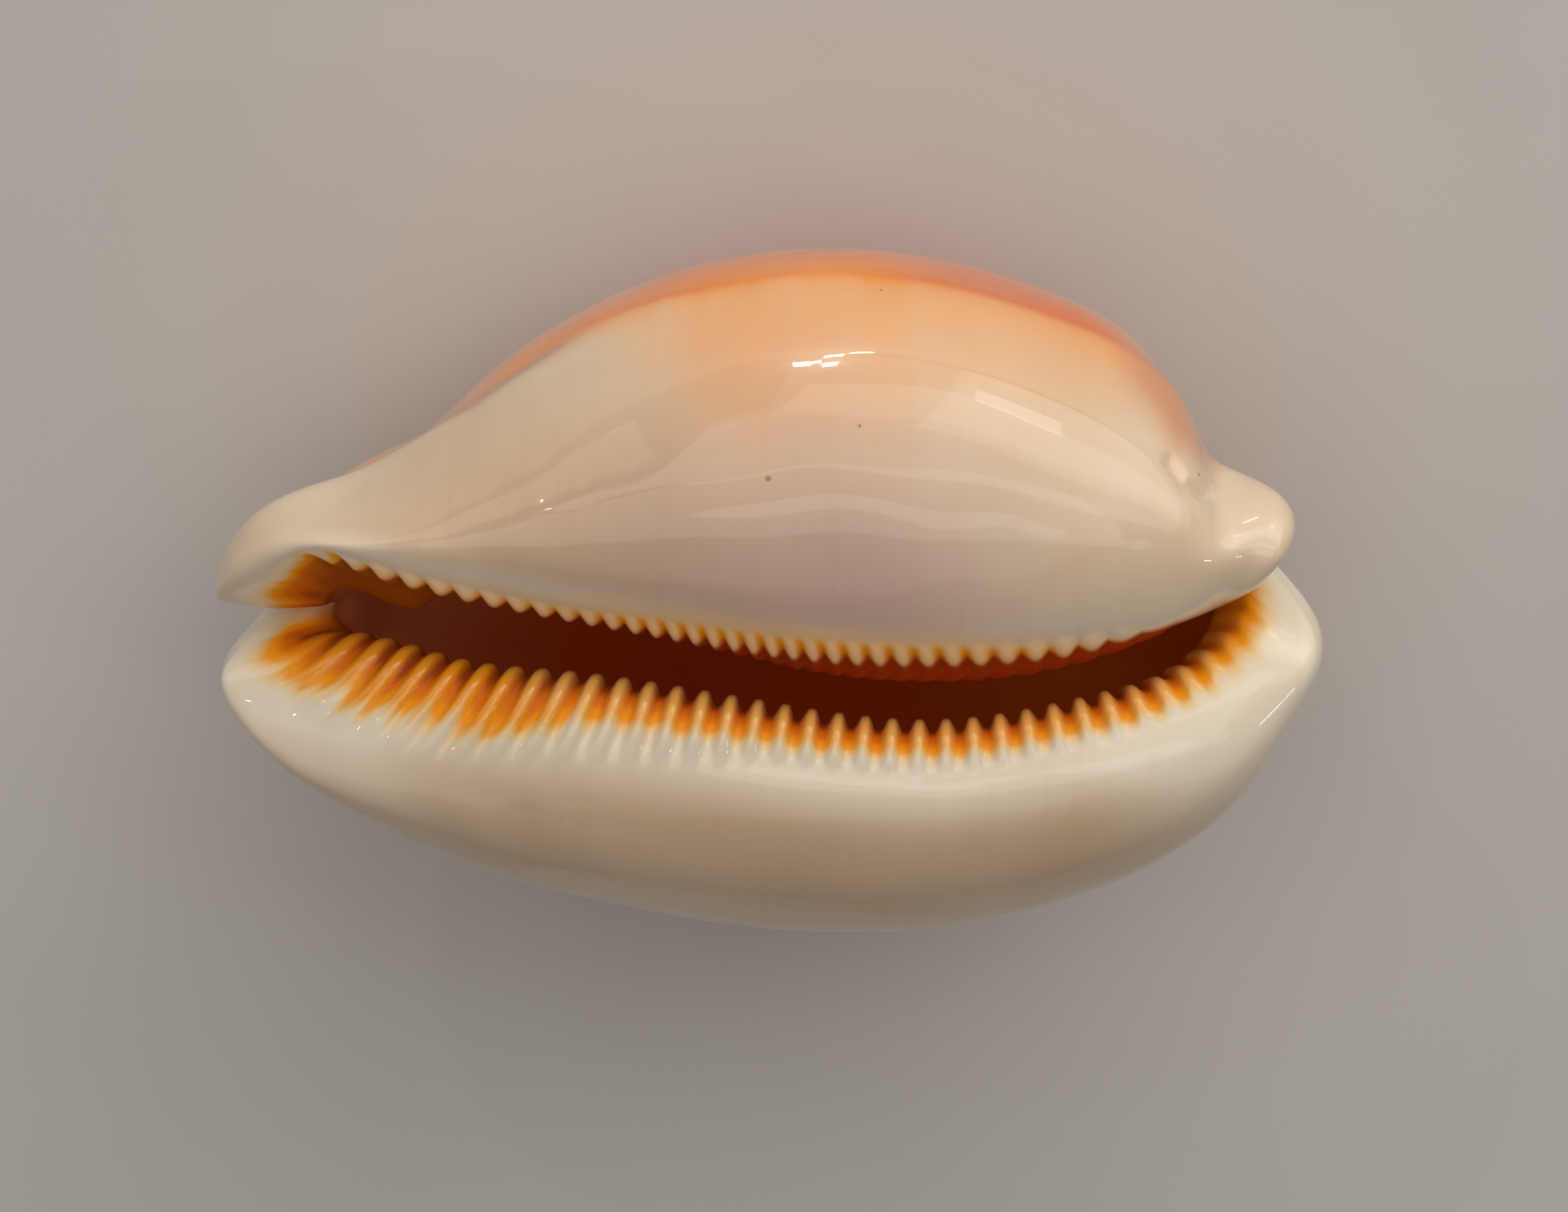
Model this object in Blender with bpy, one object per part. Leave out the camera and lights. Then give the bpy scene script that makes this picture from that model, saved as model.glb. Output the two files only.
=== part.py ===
"""Golden cowrie shell, empty, lying on its back with its mouth up.

The shell is one closed sheet wrapped round the mouth. Columns run round the mouth as a ring, from the front
canal along the outer (labral) lip to the rear canal and back along the inner (columellar) lip. Rows run from
the ridge of the back over the margin, the crest of the base and the edge of the lip, then on inside to the
ridge of the hollow. Where the two halves of the ring meet along a ridge they share its points.

The design is in millimetres in the shell's own axes: x to the rear, where the spire is, y to the columellar
side and z out through the mouth. It is then rolled to its rest pose and written in metres, +Z up.

The rows are the controls of a cubic spline, so the surface is a little inside them.
"""

import math

import bmesh
import bpy
import numpy as np

MM = 0.001

# Each station is a cross-section round the ring: margin, crest, edge of the lip, inner fold, inner margin,
# then how far the margin tucks in towards the back and over what height, and how full the back's arch is.
STATIONS = (
    ("canal floor", (-42.2, 3.2, 4.4), (-42.0, 3.0, 8.0), (-39.8, 3.0, 8.8), (-37.4, 3.0, 9.2),
     (-35.2, 2.5, 2.6), (1.2, 1.6, 0.40)),
    ("canal flank", (-44.2, 0.9, 7.4), (-44.7, 0.4, 11.6), (-41.2, 1.7, 11.0), (-37.6, 2.2, 9.8),
     (-35.2, 0.8, 2.6), (2.2, 3.6, 0.40)),
    ("labral prong", (-47.2, -2.6, 9.6), (-46.7, -1.9, 15.2), (-40.6, 1.4, 12.4), (-37.0, 1.3, 10.2),
     (-35.2, -1.6, 3.0), (4.2, 5.0, 0.40)),
    ("labral neck", (-44.2, -8.0, 10.0), (-42.8, -6.4, 18.3), (-36.2, 1.9, 13.4), (-35.2, 0.4, 10.2),
     (-34.6, -5.2, 3.6), (3.0, 5.5, 0.43)),
    ("labral front", (-37.8, -13.7, 9.0), (-36.6, -9.0, 20.8), (-31.2, 1.7, 15.4), (-30.6, -0.6, 11.4),
     (-31.2, -10.6, 4.2), (1.6, 5.0, 0.48)),
    ("labral front body", (-28.0, -20.0, 8.0), (-28.2, -10.0, 22.2), (-24.6, 0.5, 17.0), (-24.4, -2.2, 12.8),
     (-25.8, -17.2, 4.5), (0.3, 4.0, 0.55)),
    ("labral front mid", (-15.0, -25.2, 7.0), (-15.6, -11.0, 23.0), (-14.2, -0.4, 18.0), (-14.2, -3.4, 13.8),
     (-13.8, -22.4, 4.5), (0.0, 3.0, 0.60)),
    ("labral mid", (1.0, -28.4, 6.5), (0.0, -12.0, 23.3), (-0.5, -2.9, 18.5), (-0.5, -6.0, 14.2),
     (0.6, -25.7, 4.5), (0.0, 3.0, 0.59)),
    ("labral rear mid", (16.0, -28.1, 6.5), (14.8, -12.6, 23.2), (13.5, -4.6, 18.5), (13.5, -7.8, 14.2),
     (14.7, -25.3, 4.5), (0.0, 3.0, 0.60)),
    ("labral rear body", (29.6, -23.8, 7.0), (28.0, -11.0, 22.6), (25.0, -3.1, 18.0), (25.0, -6.2, 13.6),
     (27.0, -20.8, 4.5), (0.3, 4.0, 0.57)),
    ("labral rear", (40.0, -16.0, 8.5), (38.2, -7.2, 21.0), (33.6, -0.9, 17.0), (32.6, -3.4, 12.6),
     (35.6, -13.2, 4.2), (1.6, 5.0, 0.55)),
    ("labral heel", (45.8, -5.9, 9.5), (44.0, -2.2, 18.4), (38.8, 2.0, 15.0), (37.2, 0.2, 11.0),
     (38.0, -4.2, 3.4), (3.2, 6.0, 0.51)),
    ("labral horn", (47.6, 1.4, 9.0), (46.4, 2.4, 14.0), (41.0, 4.8, 11.6), (38.6, 4.0, 9.0),
     (38.4, 1.8, 3.0), (4.6, 6.0, 0.50)),
    ("rear canal", (43.0, 6.4, 5.2), (42.8, 6.4, 8.4), (40.6, 6.6, 8.4), (38.2, 6.4, 7.8),
     (37.2, 5.0, 2.6), (2.4, 2.6, 0.50)),
    ("rear nub", (45.0, 11.6, 10.8), (43.4, 10.0, 16.6), (41.4, 6.9, 13.0), (38.0, 6.4, 11.0),
     (37.0, 8.4, 3.0), (5.2, 8.0, 0.51)),
    ("nub side", (43.0, 15.2, 11.2), (41.0, 10.8, 18.3), (39.0, 5.4, 14.6), (36.2, 4.9, 12.4),
     (35.6, 11.8, 3.6), (5.4, 9.5, 0.56)),
    ("nub shoulder", (38.5, 15.2, 9.6), (38.0, 11.2, 19.6), (36.6, 4.9, 16.2), (34.6, 3.5, 13.2),
     (33.5, 13.2, 4.0), (2.6, 9.5, 0.60)),
    ("columellar heel", (35.8, 20.8, 4.8), (34.2, 12.2, 20.7), (33.4, 4.6, 18.3), (32.2, 1.8, 14.4),
     (31.8, 18.0, 4.0), (0.0, 6.0, 0.64)),
    ("columellar rear", (27.2, 26.0, 4.2), (27.0, 11.4, 22.2), (26.6, 3.3, 19.1), (26.0, -0.6, 14.8),
     (25.0, 22.9, 3.5), (0.0, 4.0, 0.66)),
    ("columellar rear mid", (15.0, 30.0, 3.5), (15.5, 10.8, 22.9), (17.0, 2.4, 19.5), (17.0, -2.2, 15.0),
     (14.2, 27.0, 3.5), (0.0, 3.0, 0.66)),
    ("columellar mid", (0.0, 30.4, 3.0), (1.5, 11.2, 23.2), (3.5, 2.9, 19.5), (3.5, -1.2, 14.8),
     (0.6, 27.5, 3.5), (0.0, 3.0, 0.66)),
    ("columellar front mid", (-15.0, 26.0, 3.5), (-13.5, 13.0, 23.0), (-11.0, 5.5, 19.5), (-11.0, 4.0, 14.6),
     (-13.6, 23.5, 3.5), (0.0, 3.0, 0.65)),
    ("columellar front", (-27.7, 18.6, 5.0), (-26.5, 13.8, 22.0), (-24.0, 8.2, 19.5), (-25.0, 7.2, 13.6),
     (-25.4, 15.5, 4.0), (1.2, 5.0, 0.60)),
    ("columellar neck", (-36.8, 14.1, 8.0), (-35.4, 13.2, 20.0), (-33.6, 10.8, 18.8), (-30.0, 3.8, 13.2),
     (-31.4, 9.6, 4.2), (4.0, 7.0, 0.50)),
    ("beak root", (-43.9, 12.2, 9.5), (-41.8, 10.8, 17.0), (-38.4, 10.4, 16.6), (-35.6, 6.0, 13.2),
     (-34.0, 6.8, 3.6), (3.8, 6.0, 0.45)),
    ("beak tip", (-47.2, 5.8, 9.8), (-47.3, 4.7, 12.6), (-42.4, 4.2, 12.7), (-38.0, 4.4, 12.7),
     (-35.0, 4.6, 3.0), (4.2, 5.2, 0.40)),
)
STATION_NAMES = [station[0] for station in STATIONS]

# The ridge of the back is short, domed, and bent at the rear towards the canal. Its points lie closer together
# in the middle by the spread. The hollow follows it one wall thickness inside.
RIDGE_FRONT = -12.0
RIDGE_REAR = 16.0
RIDGE_SIDE = 0.5
RIDGE_BEND = 0.006
RIDGE_SPREAD = 0.08
RIDGE_HEIGHT = -25.8
RIDGE_SAG = 0.009
WALL = 2.5

# How full an arch is: ROUND is a quarter circle, less is flatter.
ROUND = 0.5523
HOLLOW_FULLNESS = 0.58
TUCK_SWAY = 0.6
BACK_SMOOTHING = 3

# Inside the lips the wall curls down a little, then rises over the hollow as a vault.
CURL_SHARE = 0.06
CURL_DROP = 0.015
CURL_LIMIT = 3.0
VAULT_SHARES = ((0.33, 1.0), (0.66, 1.3))
VAULT_RISE = 0.014
VAULT_LIMIT = 6.0

# Teeth are counted in units of one pitch round the ring. The two halves are equally long in units, so that
# each column finds its partner across the ridge.
LABRAL_TEETH = 36
COLUMELLAR_TEETH = 35
UNITS_BEFORE_LABRAL = 5
UNITS_AFTER_COLUMELLAR = 5
HALF_RING = 44
LABRAL_FRONT_TOOTH = -35.1
LABRAL_REAR_TOOTH = 41.0
COLUMELLAR_FRONT_TOOTH = -36.6
COLUMELLAR_REAR_TOOTH = 32.2
COLUMELLAR_CROWDING = 0.2
LABRAL_TOOTH_HEIGHT = 1.0
COLUMELLAR_TOOTH_HEIGHT = 0.75
TOOTH_SHARPNESS = 1.3

# The dent beside the nub, where the buried spire lies.
SPIRE_PIT = (37.6, 15.6, 4.2)
SPIRE_PIT_RADIUS = 2.4
SPIRE_PIT_DEPTH = 1.1

# Rows of the design grid, from the ridge of the back to the ridge of the hollow.
ARCH_STEPS = 8
TUCK_STEPS = 4
BASE_STEPS = 4
LIP_STEPS = 3
HOLLOW_STEPS = 5
WAIST_ROW = ARCH_STEPS
MARGIN_ROW = WAIST_ROW + TUCK_STEPS
CREST_ROW = MARGIN_ROW + BASE_STEPS
EDGE_ROW = CREST_ROW + LIP_STEPS
FOLD_ROW = EDGE_ROW + 2
CURL_ROW = FOLD_ROW + 1

# Columns to a tooth on the lips, where the mesh keeps them all. It keeps fewer elsewhere.
COLUMNS_PER_UNIT = 4

# Rest pose: rolled so that the labral side is lower, with a small flat where the back touches the floor.
ROLL = math.radians(7.0)
FLAT_DEPTH = 0.15

SHELL_COLOUR = (0.80, 0.66, 0.50, 1.0)
SHELL_ROUGHNESS = 0.12


def closed_curve(points):
    """A smooth closed curve through the points, as a function of a position counted in points."""
    points = np.asarray(points, float)
    count = len(points)
    matrix = 4.0 * np.eye(count) + np.roll(np.eye(count), 1, 1) + np.roll(np.eye(count), -1, 1)
    slopes = np.linalg.solve(matrix, 3.0 * (np.roll(points, -1, 0) - np.roll(points, 1, 0)))

    def at(positions):
        whole = np.floor(positions)
        here = whole.astype(int) % count
        there = (here + 1) % count
        t = (positions - whole)[:, None]
        start = (2 * t**3 - 3 * t**2 + 1) * points[here] + (t**3 - 2 * t**2 + t) * slopes[here]
        return start + (3 * t**2 - 2 * t**3) * points[there] + (t**3 - t**2) * slopes[there]

    return at


RAILS = {name: closed_curve([station[index + 1] for station in STATIONS])
         for index, name in enumerate(("margin", "crest", "edge", "fold", "hollow", "arch"))}


def position_at(x, first, last):
    """Where along the ring, between two stations, the edge of the lip passes x."""
    positions = np.linspace(STATION_NAMES.index(first), STATION_NAMES.index(last), 2001)
    along = RAILS["edge"](positions)[:, 0]
    order = np.argsort(along)
    return float(np.interp(x, along[order], positions[order]))


def along_edge(start, end, steps, crowding):
    """Positions evenly spaced along the edge of the lip, or crowded towards the middle."""
    positions = np.linspace(start, end, 2001)
    lengths = np.linalg.norm(np.diff(RAILS["edge"](positions), axis=0), axis=1)
    travelled = np.concatenate([[0.0], np.cumsum(lengths)])
    share = np.linspace(0.0, 1.0, steps + 1)
    share = share + crowding * np.sin(2 * np.pi * share) / (2 * np.pi)
    return np.interp(share * travelled[-1], travelled, positions)


def ring_positions(per_unit):
    """The station position of each column: column 0 at the front canal, the halfway one at the rear canal."""
    rear_canal = STATION_NAMES.index("rear canal")
    labral_front = position_at(LABRAL_FRONT_TOOTH, "labral prong", "labral front body")
    labral_rear = position_at(LABRAL_REAR_TOOTH, "labral rear", "labral horn")
    columellar_rear = position_at(COLUMELLAR_REAR_TOOTH, "nub side", "columellar rear")
    columellar_front = position_at(COLUMELLAR_FRONT_TOOTH, "columellar front", "beak root")
    labral_end = UNITS_BEFORE_LABRAL + LABRAL_TEETH - 1
    columellar_start = 2 * HALF_RING - UNITS_AFTER_COLUMELLAR - COLUMELLAR_TEETH + 1
    labral_steps = (LABRAL_TEETH - 1) * per_unit
    columellar_steps = (COLUMELLAR_TEETH - 1) * per_unit
    stretches = (
        np.linspace(0.0, labral_front, UNITS_BEFORE_LABRAL * per_unit + 1),
        along_edge(labral_front, labral_rear, labral_steps, 0.0),
        np.linspace(labral_rear, rear_canal, (HALF_RING - labral_end) * per_unit + 1),
        np.linspace(rear_canal, columellar_rear, (columellar_start - HALF_RING) * per_unit + 1),
        along_edge(columellar_rear, columellar_front, columellar_steps, COLUMELLAR_CROWDING),
        np.linspace(columellar_front, len(STATIONS), UNITS_AFTER_COLUMELLAR * per_unit + 1),
    )
    positions = np.concatenate([stretch[:-1] for stretch in stretches])
    for _ in range(2 * per_unit**2):
        before = np.concatenate([[positions[-1] - len(STATIONS)], positions[:-1]])
        after = np.concatenate([positions[1:], [positions[0] + len(STATIONS)]])
        positions = positions + 0.25 * (before - 2 * positions + after)
        positions[0] = 0.0
    return positions


def quarter_arch(side, top, fullness, steps, slope=0.0):
    """Rows of a cubic arch from a side, where it stands upright, to its top, level but for a slope along x."""
    reach = (side - top) * np.broadcast_to(fullness, len(side))[:, None]
    upright = side - reach * (0, 0, 1)
    near_top = top + reach * (1, 1, 0)
    near_top[:, 2] += reach[:, 0] * slope
    return [(1 - t) ** 3 * side + 3 * t * (1 - t) ** 2 * upright + 3 * t**2 * (1 - t) * near_top + t**3 * top
            for t in np.linspace(0.0, 1.0, steps + 1)]


def tucked(margin, inward, tuck, rise, share):
    """A row between the margin and the waist above it, an S that starts and ends upright."""
    row = margin.copy()
    row[:, :2] += inward * (tuck * share**2 * (3 - 2 * share))[:, None]
    row[:, 2] -= rise * (share + TUCK_SWAY * math.sin(2 * math.pi * share) / (2 * math.pi))
    return row


def design_grid(positions):
    """The rows of control points, each with one point to a column."""
    count = len(positions)
    margin, crest, edge, fold, hollow = (
        RAILS[name](positions) for name in ("margin", "crest", "edge", "fold", "hollow"))
    tuck, rise, fullness = RAILS["arch"](positions).T
    column = np.arange(count)
    share = 2 * np.minimum(column, count - column) / count
    share = share + RIDGE_SPREAD * np.sin(2 * np.pi * share)
    ridge = np.empty((count, 3))
    ridge[:, 0] = RIDGE_FRONT + (RIDGE_REAR - RIDGE_FRONT) * share
    from_middle = ridge[:, 0] - (RIDGE_FRONT + RIDGE_REAR) / 2
    ridge[:, 1] = RIDGE_SIDE + RIDGE_BEND * np.maximum(from_middle, 0) ** 2
    ridge[:, 2] = RIDGE_HEIGHT + RIDGE_SAG * from_middle**2
    slope = 2 * RIDGE_SAG * from_middle
    inner_ridge = ridge + (0.0, 0.0, WALL)
    inward = ridge[:, :2] - margin[:, :2]
    inward /= np.linalg.norm(inward, axis=1)[:, None]
    waist = tucked(margin, inward, tuck, rise, 1.0)
    rows = quarter_arch(waist, ridge, fullness, ARCH_STEPS, slope)[::-1]
    rows += [tucked(margin, inward, tuck, rise, 1 - step / TUCK_STEPS) for step in range(1, TUCK_STEPS + 1)]
    rows += quarter_arch(margin, crest, ROUND, BASE_STEPS)[1:]
    rows += quarter_arch(edge, crest, ROUND, LIP_STEPS)[::-1][1:]
    rows += [(edge + fold) / 2, fold]
    reach = np.linalg.norm((hollow - fold)[:, :2], axis=1)
    curl = np.outer(np.minimum(CURL_DROP * reach**2, CURL_LIMIT), (0.0, 0.0, 1.0))
    vault = np.outer(np.minimum(VAULT_RISE * reach**2, VAULT_LIMIT), (0.0, 0.0, 1.0))
    rows.append(fold + (hollow - fold) * CURL_SHARE - curl)
    rows += [fold + (hollow - fold) * share + vault * height for share, height in VAULT_SHARES]
    rows += quarter_arch(hollow, inner_ridge, np.minimum(fullness, HOLLOW_FULLNESS), HOLLOW_STEPS, slope)
    return relaxed_back(np.array(rows))


def relaxed_back(grid):
    """The grid with its back evened out, both round the ring and from row to row, up to its margin."""
    weight = 1 - fade(np.arange(len(grid)), WAIST_ROW, MARGIN_ROW + 1)
    for _ in range(BACK_SMOOTHING * (grid.shape[1] // (2 * HALF_RING)) ** 2):
        around = np.roll(grid, 1, 1) + np.roll(grid, -1, 1)
        grid = grid + 0.25 * weight[:, None, None] * (around - 2 * grid)
    for _ in range(BACK_SMOOTHING):
        grid[1:-1] += 0.25 * weight[1:-1, None, None] * (grid[:-2] + grid[2:] - 2 * grid[1:-1])
    return grid


def smoothed(grid):
    """The grid's points moved on to the cubic B-spline that the rows control, mirrored past each ridge."""
    mirror = -np.arange(grid.shape[1]) % grid.shape[1]
    padded = np.concatenate([grid[1:2, mirror], grid, grid[-2:-1, mirror]])
    return (padded[:-2] + 4 * padded[1:-1] + padded[2:]) / 6


def outward_normals(grid):
    along = np.roll(grid, -1, 1) - np.roll(grid, 1, 1)
    down = np.gradient(grid, axis=0)
    normals = np.cross(along, down)
    return normals / np.maximum(np.linalg.norm(normals, axis=2), 1e-9)[:, :, None]


def fade(value, start, end):
    share = np.clip((value - start) / (end - start), 0.0, 1.0)
    return share * share * (3 - 2 * share)


def tooth_relief(rows, units):
    """Height of the teeth, for row numbers down the grid and positions round the ring in units."""
    row = rows[:, None]
    unit = units[None, :]
    ridge = (0.5 + 0.5 * np.cos(2 * np.pi * unit)) ** TOOTH_SHARPNESS
    labral_end = UNITS_BEFORE_LABRAL + LABRAL_TEETH - 1
    labral = (unit > UNITS_BEFORE_LABRAL - 0.5) & (unit < labral_end + 0.5)
    columellar_end = 2 * HALF_RING - UNITS_AFTER_COLUMELLAR
    columellar_start = columellar_end - COLUMELLAR_TEETH + 1
    columellar = (unit > columellar_start - 0.5) & (unit < columellar_end + 0.5)
    front = 1 - fade(unit, UNITS_BEFORE_LABRAL, UNITS_BEFORE_LABRAL + 12)
    outer_end = CREST_ROW + 1.6 - 1.4 * front
    labral_height = fade(row, outer_end, EDGE_ROW - 0.3) * (1 - fade(row, FOLD_ROW - 0.6, FOLD_ROW + 0.6))
    labral_height = labral_height * fade(unit, UNITS_BEFORE_LABRAL - 1.5, UNITS_BEFORE_LABRAL + 3)
    labral_height = labral_height * (1 - 0.6 * fade(unit, labral_end - 4, labral_end + 1))
    fossula = fade(unit, columellar_end - 14, columellar_end - 5)
    inner_end = FOLD_ROW - 1.2 * fossula
    columellar_height = fade(row, EDGE_ROW - 1.2, EDGE_ROW) * (1 - fade(row, EDGE_ROW, inner_end))
    columellar_height = columellar_height * fade(unit, columellar_start - 1, columellar_start + 3)
    relief = LABRAL_TOOTH_HEIGHT * labral * labral_height
    return ridge * (relief + COLUMELLAR_TOOTH_HEIGHT * columellar * columellar_height)


def pit_relief(grid):
    distance = np.linalg.norm(grid - np.array(SPIRE_PIT), axis=2)
    outside = np.arange(len(grid))[:, None] <= EDGE_ROW
    return -SPIRE_PIT_DEPTH * np.exp(-(distance / SPIRE_PIT_RADIUS) ** 2) * outside


def column_step(row):
    """How many grid columns apart the mesh's columns stand on a row."""
    if row <= 3 or row >= CURL_ROW + 4:
        return 2 * COLUMNS_PER_UNIT
    if row < MARGIN_ROW or row >= CURL_ROW + 2:
        return COLUMNS_PER_UNIT
    if row < CREST_ROW or row > CURL_ROW:
        return COLUMNS_PER_UNIT // 2
    return 1


def halves(points, corners):
    """The two triangles of a face, cut along its shorter diagonal."""
    first, second, third, fourth = corners
    if np.linalg.norm(points[first] - points[third]) <= np.linalg.norm(points[second] - points[fourth]):
        return [(first, second, third), (first, third, fourth)]
    return [(first, second, fourth), (second, third, fourth)]


def lofted_mesh(grid, name):
    """The closed mesh of the grid, with the two halves of the ring sharing the points of each ridge."""
    row_count, column_count, _ = grid.shape
    points = []
    index = {}
    for row in range(row_count):
        for column in range(0, column_count, column_step(row)):
            partner = (-column) % column_count
            if row in (0, row_count - 1) and partner < column:
                index[row, column] = index[row, partner]
                continue
            index[row, column] = len(points)
            points.append(grid[row, column])
    faces = []
    for row in range(row_count - 1):
        upper, lower = column_step(row), column_step(row + 1)
        for column in range(0, column_count, max(upper, lower)):
            after = (column + max(upper, lower)) % column_count
            middle = column + min(upper, lower)
            corners = (index[row, column], index[row, after], index[row + 1, after], index[row + 1, column])
            if upper == lower:
                faces += halves(points, corners)
            elif upper > lower:
                half = index[row + 1, middle]
                faces += [(corners[0], half, corners[3]), (corners[0], corners[1], half)]
                faces.append((corners[1], corners[2], half))
            else:
                half = index[row, middle]
                faces += [(corners[0], half, corners[3]), (half, corners[2], corners[3])]
                faces.append((half, corners[1], corners[2]))
    mesh = bpy.data.meshes.new(name)
    mesh.from_pydata([tuple(point) for point in points], [], faces)
    return mesh


def rest_pose(grid):
    """The grid turned to the way the shell lies, still in millimetres."""
    roll = np.array(((1, 0, 0), (0, math.cos(ROLL), -math.sin(ROLL)), (0, math.sin(ROLL), math.cos(ROLL))))
    return grid @ roll.T


def cut_flat(mesh, height):
    """Cuts the back off level at a height, and closes it with one flat face."""
    solid = bmesh.new()
    solid.from_mesh(mesh)
    geometry = solid.verts[:] + solid.edges[:] + solid.faces[:]
    cut = bmesh.ops.bisect_plane(solid, geom=geometry, dist=1e-6, plane_co=(0, 0, height),
                                 plane_no=(0, 0, -1), clear_outer=True)
    rim = [part for part in cut["geom_cut"] if isinstance(part, bmesh.types.BMEdge)]
    bmesh.ops.contextual_create(solid, geom=rim)
    bmesh.ops.recalc_face_normals(solid, faces=solid.faces[:])
    solid.to_mesh(mesh)
    solid.free()


def shell_material():
    material = bpy.data.materials.new("polished_shell")
    material.use_nodes = True
    shader = material.node_tree.nodes["Principled BSDF"]
    shader.inputs["Base Color"].default_value = SHELL_COLOUR
    shader.inputs["Roughness"].default_value = SHELL_ROUGHNESS
    shader.inputs["Metallic"].default_value = 0.0
    return material


def cowrie_shell():
    positions = ring_positions(COLUMNS_PER_UNIT)
    grid = smoothed(design_grid(positions))
    units = np.arange(len(positions)) / COLUMNS_PER_UNIT
    relief = tooth_relief(np.arange(float(len(grid))), units) + pit_relief(grid)
    grid = grid + outward_normals(grid) * relief[:, :, None]
    grid = rest_pose(grid)
    low, high = grid.min((0, 1)), grid.max((0, 1))
    floor = low[2] + FLAT_DEPTH
    grid = grid - ((low[0] + high[0]) / 2, (low[1] + high[1]) / 2, floor)
    mesh = lofted_mesh(grid * MM, "cowrie_shell")
    cut_flat(mesh, 0.0)
    mesh.materials.append(shell_material())
    mesh.shade_smooth()
    return bpy.data.objects.new("cowrie_shell", mesh)


def main():
    for old in list(bpy.data.objects):
        bpy.data.objects.remove(old, do_unlink=True)
    collection = bpy.data.collections.new("golden_cowrie")
    bpy.context.scene.collection.children.link(collection)
    collection.objects.link(cowrie_shell())


main()
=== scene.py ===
import math

import bpy
import numpy as np
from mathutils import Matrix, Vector


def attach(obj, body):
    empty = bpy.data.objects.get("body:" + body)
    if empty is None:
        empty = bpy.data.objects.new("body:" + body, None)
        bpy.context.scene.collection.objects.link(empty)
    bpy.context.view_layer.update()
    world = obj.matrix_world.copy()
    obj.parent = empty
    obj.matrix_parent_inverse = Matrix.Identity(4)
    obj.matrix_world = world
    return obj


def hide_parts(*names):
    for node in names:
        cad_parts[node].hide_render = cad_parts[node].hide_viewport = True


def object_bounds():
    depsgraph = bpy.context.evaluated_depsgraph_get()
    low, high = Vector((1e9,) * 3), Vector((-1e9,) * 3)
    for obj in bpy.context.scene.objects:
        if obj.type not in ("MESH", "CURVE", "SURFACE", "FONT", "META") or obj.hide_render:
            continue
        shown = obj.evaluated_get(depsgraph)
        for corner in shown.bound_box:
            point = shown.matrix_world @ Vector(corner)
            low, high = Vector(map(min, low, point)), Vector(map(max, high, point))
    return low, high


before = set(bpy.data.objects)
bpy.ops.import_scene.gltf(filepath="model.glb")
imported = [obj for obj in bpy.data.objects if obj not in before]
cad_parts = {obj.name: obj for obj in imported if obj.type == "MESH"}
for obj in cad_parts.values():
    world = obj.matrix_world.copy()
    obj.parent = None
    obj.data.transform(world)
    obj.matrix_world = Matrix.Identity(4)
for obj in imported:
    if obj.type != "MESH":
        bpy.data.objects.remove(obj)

cadLow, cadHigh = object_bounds()
scene = bpy.context.scene
print("frame loaded")

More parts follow.
